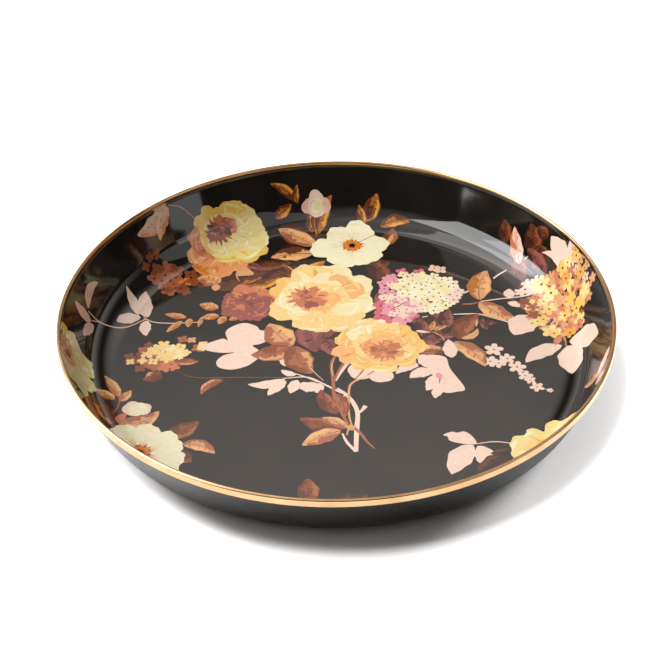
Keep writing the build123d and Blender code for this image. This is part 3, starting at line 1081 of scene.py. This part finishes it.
def make_world():
    """Soft studio surroundings for reflections, warm white, and plain white to the camera."""
    world = bpy.data.worlds.new("studio")
    bpy.context.scene.world = world
    world.use_nodes = True
    tree = world.node_tree
    background = tree.nodes["Background"]
    place = tree.nodes.new("ShaderNodeTexCoord")

    def glow(direction, start, full, value):
        """Light that grows from none to value as the cosine to the direction goes from start to full."""
        dot = tree.nodes.new("ShaderNodeVectorMath")
        dot.operation = "DOT_PRODUCT"
        dot.inputs[1].default_value = Vector(direction).normalized()
        tree.links.new(place.outputs["Generated"], dot.inputs[0])
        ramp = tree.nodes.new("ShaderNodeMapRange")
        ramp.interpolation_type = "SMOOTHSTEP"
        ramp.inputs["From Min"].default_value = start
        ramp.inputs["From Max"].default_value = full
        ramp.inputs["To Max"].default_value = value
        tree.links.new(dot.outputs["Value"], ramp.inputs["Value"])
        return ramp.outputs["Result"]

    def combine(operation, a, b):
        node = tree.nodes.new("ShaderNodeMath")
        node.operation = operation
        tree.links.new(a, node.inputs[0])
        tree.links.new(b, node.inputs[1])
        return node.outputs[0]

    lit = combine("MULTIPLY", glow(UP, 0.50, 0.72, 1.0), glow((-0.30, 0.95, 0), 0.25, 0.60, 1.25))
    low_band = combine("MULTIPLY", glow(UP, 0.48, 0.22, 1.0), glow((-0.15, 1, 0), -0.25, 0.45, 0.9))
    overhead = glow((-0.30, 0.05, 0.95), 0.75, 0.98, 0.8)
    over_camera = glow((-0.3, -0.55, 0.78), 0.80, 0.99, 0.45)
    haze = glow(UP, -0.3, 0.4, 0.05)
    for part in (overhead, over_camera, haze, low_band):
        lit = combine("ADD", lit, part)
    tint = tree.nodes.new("ShaderNodeVectorMath")
    tint.operation = "SCALE"
    tint.inputs[0].default_value = (1.10, 1.0, 0.93)
    tree.links.new(lit, tint.inputs["Scale"])
    seen = tree.nodes.new("ShaderNodeLightPath")
    mix = tree.nodes.new("ShaderNodeMix")
    mix.data_type = "VECTOR"
    tree.links.new(seen.outputs["Is Camera Ray"], mix.inputs["Factor"])
    tree.links.new(tint.outputs["Vector"], mix.inputs[MIX_A])
    mix.inputs[MIX_B].default_value = (1.1, 1.1, 1.1)
    tree.links.new(mix.outputs[MIX_RESULT], background.inputs["Color"])


FLOOR_HALF = 6.0              # metres from the middle of the studio floor to its edges
TRAY_BOXES = (                # name, direction, distance, size and radiance
    ("key_softbox", (-0.82, -0.10, 0.57), 1.2, (1.20, 1.05), 5.0),
    ("key_high", (-0.50, 0.36, 0.79), 1.2, (0.85, 0.85), 2.2),
)
FLOOR_BOXES = (
    ("wash_above", (-0.28, -0.13, 0.95), 2.5, (0.7, 0.7), 50.0),
    ("wash_left", (-0.78, 0.58, 0.26), 2.5, (0.9, 0.9), 75.0),
    ("wash_right", (0.78, 0.58, 0.26), 2.5, (0.9, 0.9), 58.0),
)
# Boxes inside one another: their reflections fade towards the edge. Each nest has a direction,
# a distance, the height of its boxes for a width of 1, and the name, width and radiance of each.
NESTS = (
    ((0.60, -0.35, 0.72), 1.2, 1.0,
     (("fill_high", 1.30, 0.7), ("fill_high_core", 0.90, 0.7), ("fill_high_heart", 0.50, 0.8))),
    ((-0.92, 0.09, 0.38), 1.2, 1.0,
     (("key_core", 0.62, 2.5), ("key_heart", 0.45, 3.0), ("key_spark", 0.26, 4.0))),
    ((0.90, -0.35, 0.26), 1.3, 1.2,
     (("fill_softbox", 0.38, 1.2), ("fill_core", 0.29, 1.2), ("fill_heart", 0.20, 1.6))),
)


def make_studio():
    """Floor, lights and camera. The floor and the tray have their own lights."""
    mesh = bpy.data.meshes.new("studio_floor")
    corners = [(x * FLOOR_HALF, y * FLOOR_HALF, 0) for x, y in ((-1, -1), (1, -1), (1, 1), (-1, 1))]
    mesh.from_pydata(corners, [], [(0, 1, 2, 3)])
    mesh.materials.append(table_top())
    floor = link("studio_floor", mesh)
    tray_lights = [softbox(*box) for box in TRAY_BOXES]
    for direction, distance, height, boxes in NESTS:
        for name, width, radiance in boxes:
            tray_lights.append(softbox(name, direction, distance, (width, width * height), radiance))
    floor_lights = [softbox(*box) for box in FLOOR_BOXES]
    for name, state, lamps in (
        ("only_floor", "INCLUDE", floor_lights),
        ("all_but_floor", "EXCLUDE", tray_lights),
    ):
        receivers = bpy.data.collections.new(name)
        receivers.objects.link(floor)
        receivers.collection_objects[0].light_linking.link_state = state
        for lamp in lamps:
            lamp.light_linking.receiver_collection = receivers
    make_world()
    make_camera()
    bpy.context.scene.view_settings.view_transform = "Standard"
    bpy.context.scene.view_settings.look = "None"


make_tray()
make_studio()
bpy.context.view_layer.update()
